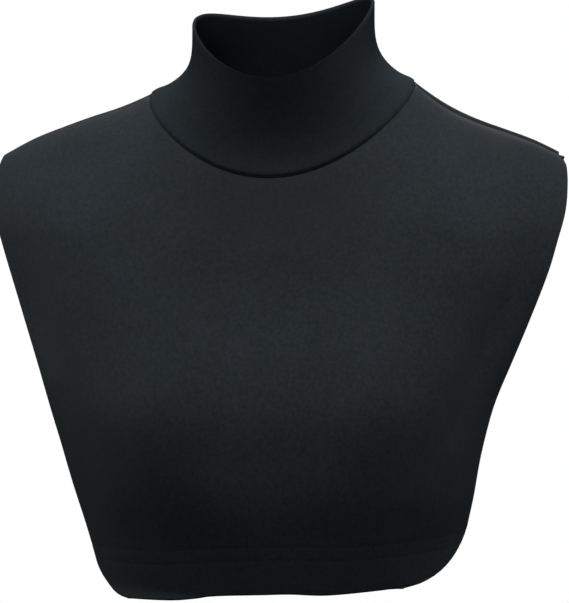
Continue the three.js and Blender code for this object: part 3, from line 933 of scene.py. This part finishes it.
def sewn(name, slot, paths, **values):
    """A piece of stitches. Each path is its points, their normals and whether it is closed."""
    tree = bpy.data.node_groups.get("Stitch row") or stitch_tree()
    values["Material"] = material("sewing_thread")
    mesh = bpy.data.meshes.new(name + "_path")
    points, edges, facings = [], [], []
    for path, normals, closed in paths:
        base = len(points)
        points += [tuple(point) for point in path]
        facings += [value for normal in normals for value in normal]
        edges += [(base + k, base + k + 1) for k in range(len(path) - 1)]
        if closed:
            edges.append((base + len(path) - 1, base))
    mesh.from_pydata(points, edges, [])
    mesh.attributes.new("facing", "FLOAT_VECTOR", "POINT").data.foreach_set("vector", facings)
    rows = linked(name + "_rows", mesh)
    modifier = rows.modifiers.new("stitches", "NODES")
    modifier.node_group = tree
    for socket in tree.interface.items_tree:
        if socket.in_out == "INPUT" and socket.name in values:
            modifier[socket.identifier] = values[socket.name]
    ready = rows.evaluated_get(bpy.context.evaluated_depsgraph_get())
    made = bpy.data.meshes.new_from_object(ready)
    if not made.polygons:
        raise RuntimeError(name + " has no stitches")
    made.name = name
    piece = linked(name, made)
    rows.modifiers.remove(modifier)
    bpy.data.objects.remove(rows)
    return place(piece, slot, "sewing_thread")


# What the operators share.

def settings():
    """The scene's settings for the cloth, the stitches and the look."""
    return [getattr(bpy.context.scene, name) for name in GROUPS]


def material(name):
    """A cloth or thread material of this garment, made once."""
    look = settings()[2]
    if name in bpy.data.materials:
        return bpy.data.materials[name]
    if name == "sewing_thread":
        return thread_material(name, look)
    return cloth_material(name, look)


def place(piece, slot, material_name, *nodes):
    """Puts a finished piece on the garment's body, for the frame's nodes that it stands for."""
    piece.data.materials.clear()
    piece.data.materials.append(material(material_name))
    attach(piece, "root")
    if nodes:
        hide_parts(*nodes)
    return piece


# How deep in the cloth the hem's thread lies outside, and how far off it inside, as shares of its
# thickness.
THREAD_SUNK, THREAD_PROUD = 0.30, 0.2


def hem_paths(grid, normals, cloth, stitches):
    """The two rows of stitches outside, and their backs inside."""
    rows = hem_rows(cloth, stitches)
    hem = grid.shape[1] - len(rows)
    paths = []
    for height in (stitches.upper_row, stitches.upper_row - stitches.row_gap):
        j = hem + min(range(len(rows)), key=lambda k: abs(rows[k] * MM - height))
        face = normals[2:-2, j]
        paths.append((grid[2:-2, j] - face * stitches.thread * THREAD_SUNK, face, False))
        depth = cloth.ply + cloth.hem_ply + stitches.thread * THREAD_PROUD
        paths.append((grid[2:-2, j] - face * depth, -face, False))
    return paths


def build_panel(panel, name, slot):
    """A panel with its hem stitches."""
    cloth, stitches, _ = settings()
    grid, normals, wall, uv = panel_grid(panel, cloth, stitches)
    piece = place(shell(name + "_cloth", grid, wall, normals, uv, False), slot, "panel_knit", name)
    rows = sewn(
        name + "_hem_stitches", slot, hem_paths(grid, normals, cloth, stitches),
        Spacing=stitches.spacing, Length=stitches.length, Thickness=stitches.thread, Lean=0.0)


# For the neck's and the shoulders' allowance: how far its middle lies from the seam and how long
# its loops are, as shares of its width, then how thick it is and how far out of its middle the
# loops lie, as shares of its wall.
NECK_SHARES, SHOULDER_SHARES = (0.55, 0.98, 0.86, 0.43), (0.52, 1.0, 0.9, 0.47)
# The loops' lean as a share of a quarter turn, and their thickness as one of the hem's thread.
LOOP_LEAN, LOOP_THREAD = 0.86, 1.3
# Rows of a grid that give the cloth's facing and its direction beside a seam.
FACING_ROW, BESIDE_ROW = 4, 6


def behind(seam, across, out, wall, shares):
    """The middle of an allowance that lies across from a seam, inside a wall of cloth."""
    stitches = settings()[1]
    depth = wall + SEAM_GAP * MM + stitches.allowance_wall / 2
    return seam - out * depth + across * stitches.allowance * shares[0]


def build_allowance(names, path, across, out, widths, walls, closed, shares, end=0):
    """A seam allowance, with overlock loops on its open face from the end's last point on."""
    stitches = settings()[1]
    _, long, thick, loops_out = shares
    piece = strip(
        names.format("allowance"), path, across, out, widths * stitches.allowance,
        walls * stitches.allowance_wall * thick, closed)
    place(piece, "seam_allowance", "allowance_knit", names.format("seam"))
    face = path - out * stitches.allowance_wall * loops_out
    sewn(
        names.format("overlock"), "seam_allowance", [(face[end:], -out[end:], closed)],
        Spacing=stitches.overlock, Length=stitches.allowance * long,
        Thickness=stitches.thread * LOOP_THREAD, Lean=QUARTER * LOOP_LEAN)


class DICKEY_OT_front(bpy.types.Operator):
    """Build the front panel with its hem"""

    bl_idname = "dickey.front"
    bl_label = "Front panel"

    def execute(self, context):
        build_panel(FRONT, "front_panel", "panel_jersey")
        return {"FINISHED"}


class DICKEY_OT_back(bpy.types.Operator):
    """Build the back panel with its hem"""

    bl_idname = "dickey.back"
    bl_label = "Back panel"

    def execute(self, context):
        build_panel(BACK, "back_panel", "panel_jersey")
        return {"FINISHED"}


class DICKEY_OT_collar(bpy.types.Operator):
    """Build the collar, folded in two along its top edge"""

    bl_idname = "dickey.collar"
    bl_label = "Collar"

    def execute(self, context):
        grid, normals, wall, uv = collar_grid(settings()[0])
        piece = place(
            shell("collar_cloth", grid, wall, normals, uv, True, folded=True), "collar_jersey",
            "collar_knit", "collar")
        return {"FINISHED"}


class DICKEY_OT_neck_seam(bpy.types.Operator):
    """Build the neck seam's allowance, overlocked and turned up inside the collar"""

    bl_idname = "dickey.neck_seam"
    bl_label = "Neck seam"

    def execute(self, context):
        cloth = settings()[0]
        grid, normals, _, _ = collar_grid(cloth)
        up, facings = unit(grid[:, BESIDE_ROW] - grid[:, 1]), normals[:, FACING_ROW]
        out = unit(facings - up * np.sum(facings * up, axis=1, keepdims=True))
        path = behind(grid[:, 1], up, out, cloth.collar_wall, NECK_SHARES)
        even = np.ones(len(path))
        build_allowance("neck_{}", path, up, out, even, even, True, NECK_SHARES)
        return {"FINISHED"}


# The allowance's end at a shoulder tip, from its far point in: how far out it lies and, at the
# right, how far up, in metres. Then its shares of the width and of the wall there and at the next
# points, and the share of the way out at the left, where the cloth covers it, and at the right.
END_POINTS = ((0.0028, 0.0012), (0.0022, 0.0011), (0.0012, 0.0007))
END_WIDTHS = (0.40, 0.60, 0.58, 0.55, 0.80, 0.95, 1.0)
END_WALLS = (0.9, 1.5, 1.4, 1.1)
END_SHOWS = {-1: 0.5, 1: 1.9}


class DICKEY_OT_shoulder_seams(bpy.types.Operator):
    """Build both shoulder seams' allowances, whose ends show at the tips"""

    bl_idname = "dickey.shoulder_seams"
    bl_label = "Shoulder seams"

    def execute(self, context):
        cloth, stitches, _ = settings()
        grid, normals, _, _ = panel_grid(BACK, cloth, stitches)
        steps = SHOULDER_STEPS * COLUMN_PARTS
        for side, name in ((-1, "left"), (1, "right")):
            order = np.arange(steps - 1) if side < 0 else len(grid) - 1 - np.arange(steps - 1)
            face, top = normals[order, FACING_ROW], grid[order, 0]
            away = unit(grid[order, BESIDE_ROW] - top)
            path = behind(top, away, face, cloth.ply, SHOULDER_SHARES)
            out = unit(path[0] - path[2])
            ends = np.array([
                path[0] + out * far * END_SHOWS[side] + face[0] * rise * (side > 0)
                for far, rise in END_POINTS])
            count = len(ends)
            path = np.concatenate([ends, path])
            away = np.concatenate([away[:1]] * count + [away])
            face = np.concatenate([face[:1]] * count + [face])
            widths, walls = np.ones((2, len(path)))
            widths[:len(END_WIDTHS)] = END_WIDTHS
            walls[:len(END_WALLS)] = END_WALLS
            build_allowance(
                "shoulder_{}_" + name, path, away, face, widths, walls, False, SHOULDER_SHARES,
                count)
        return {"FINISHED"}


# What the camera looks at, its azimuth and elevation in degrees and its distance, in metres. The
# photograph's frame is taken to be 569 pixels wide, each of which covers the last size given.
VIEW_MIDDLE, VIEW_ANGLES, VIEW_DISTANCE = (0.001, 0.0, -0.1415), (5, 4), 1.8
SENSOR, PHOTO_WIDTH, METRES_EACH_PIXEL = 36, 569, 0.000672
FLOOR_RADIUS, FLOOR_HEIGHT, FLOOR_SIDES = 4.9, -1.25, 96
# The lamps' places and sizes, and their powers as shares of the key light's.
LAMPS = (
    ("key", (0.0, -1.05, 1.45), 0.9, 1),
    ("fill", (0.0, -2.0, 0.9), 1.2, 0.32),
    ("side_left", (-1.9, 0.3, 0.1), 1.0, 0.36),
    ("side_right", (1.9, 0.3, 0.1), 1.0, 0.33),
    ("back", (0.0, 1.5, 1.3), 1.0, 0.80),
)


class DICKEY_OT_stage(bpy.types.Operator):
    """Set up the pale floor, the soft light and the camera"""

    bl_idname = "dickey.stage"
    bl_label = "Stage"

    def execute(self, context):
        look = settings()[2]
        scene = context.scene
        scene.view_settings.view_transform = "Standard"
        middle = Vector(VIEW_MIDDLE)
        azimuth, elevation = (math.radians(degrees) for degrees in VIEW_ANGLES)
        ahead = Vector((
            -math.sin(azimuth) * math.cos(elevation), math.cos(azimuth) * math.cos(elevation),
            -math.sin(elevation)))
        camera = bpy.data.cameras.new("camera")
        camera.sensor_fit = "HORIZONTAL"
        camera.sensor_width = SENSOR
        camera.lens = SENSOR * VIEW_DISTANCE / (PHOTO_WIDTH * METRES_EACH_PIXEL)
        camera.clip_start, camera.clip_end = 0.1, 60
        eye = linked("camera", camera, scene.collection)
        eye.location = middle - ahead * VIEW_DISTANCE
        eye.rotation_euler = ahead.to_track_quat("-Z", "Y").to_euler()
        scene.camera = eye

        floor_mesh = bpy.data.meshes.new("floor")
        turns = np.linspace(0, 2 * math.pi, FLOOR_SIDES, False)
        ring = [
            (FLOOR_RADIUS * math.cos(turn), FLOOR_RADIUS * math.sin(turn), FLOOR_HEIGHT)
            for turn in turns]
        floor_mesh.from_pydata(ring, [], [tuple(range(FLOOR_SIDES))])
        floor = linked("floor", floor_mesh, scene.collection)
        paint, tree, shader = new_material("floor_paint")
        set_inputs(tree, shader, {
            "Base Color": (*look.floor, 1), "Roughness": 0.9, "Emission Color": (1, 1, 1, 1),
            "Emission Strength": 0.7})
        floor.visible_diffuse = floor.visible_glossy = False
        floor_mesh.materials.append(paint)

        for name, place_at, size, power in LAMPS:
            lamp = bpy.data.lights.new(name, "AREA")
            lamp.shape, lamp.size, lamp.energy = "DISK", size, look.key * power
            holder = linked(name, lamp, scene.collection)
            holder.location = place_at
            towards = middle - Vector(place_at)
            holder.rotation_euler = towards.to_track_quat("-Z", "Y").to_euler()

        world = bpy.data.worlds.new("studio")
        world.use_nodes = True
        tree = world.node_tree
        soft = tree.nodes["Background"]
        set_inputs(tree, soft, {"Color": (1, 1, 1, 1), "Strength": 0.02})
        white = node(tree, "ShaderNodeBackground", {"Color": (1, 1, 1, 1), "Strength": 1.0}, 0)
        seen = node(tree, "ShaderNodeLightPath", out="Is Camera Ray")
        both = node(tree, "ShaderNodeMixShader", {"Fac": seen, 1: soft.outputs[0], 2: white}, 0)
        set_inputs(tree, tree.nodes["World Output"], {"Surface": both})
        scene.world = world
        return {"FINISHED"}


class DICKEY_PT_panel(bpy.types.Panel):
    """The garment's sizes and pieces"""

    bl_label = "Dickey"
    bl_idname = "DICKEY_PT_panel"
    bl_space_type = "VIEW_3D"
    bl_region_type = "UI"
    bl_category = "Dickey"

    def draw(self, context):
        for group in settings():
            box = self.layout.box()
            for name in type(group).__annotations__:
                box.prop(group, name)
        for operator in OPERATORS:
            self.layout.operator(operator.bl_idname)


GROUPS = {"dickey_cloth": DickeyCloth, "dickey_stitches": DickeyStitches, "dickey_look": DickeyLook}
OPERATORS = (
    DICKEY_OT_front, DICKEY_OT_back, DICKEY_OT_collar, DICKEY_OT_neck_seam,
    DICKEY_OT_shoulder_seams, DICKEY_OT_stage,
)
CLASSES = (*GROUPS.values(), *OPERATORS, DICKEY_PT_panel)


def register():
    for cls in CLASSES:
        bpy.utils.register_class(cls)
    for name, group in GROUPS.items():
        setattr(bpy.types.Scene, name, bpy.props.PointerProperty(type=group))


def unregister():
    for name in GROUPS:
        delattr(bpy.types.Scene, name)
    for cls in reversed(CLASSES):
        bpy.utils.unregister_class(cls)


def main():
    register()
    bpy.ops.dickey.front()
    bpy.ops.dickey.back()
    bpy.ops.dickey.collar()
    bpy.ops.dickey.neck_seam()
    bpy.ops.dickey.shoulder_seams()
    bpy.ops.dickey.stage()


if __name__ == "__main__":
    main()
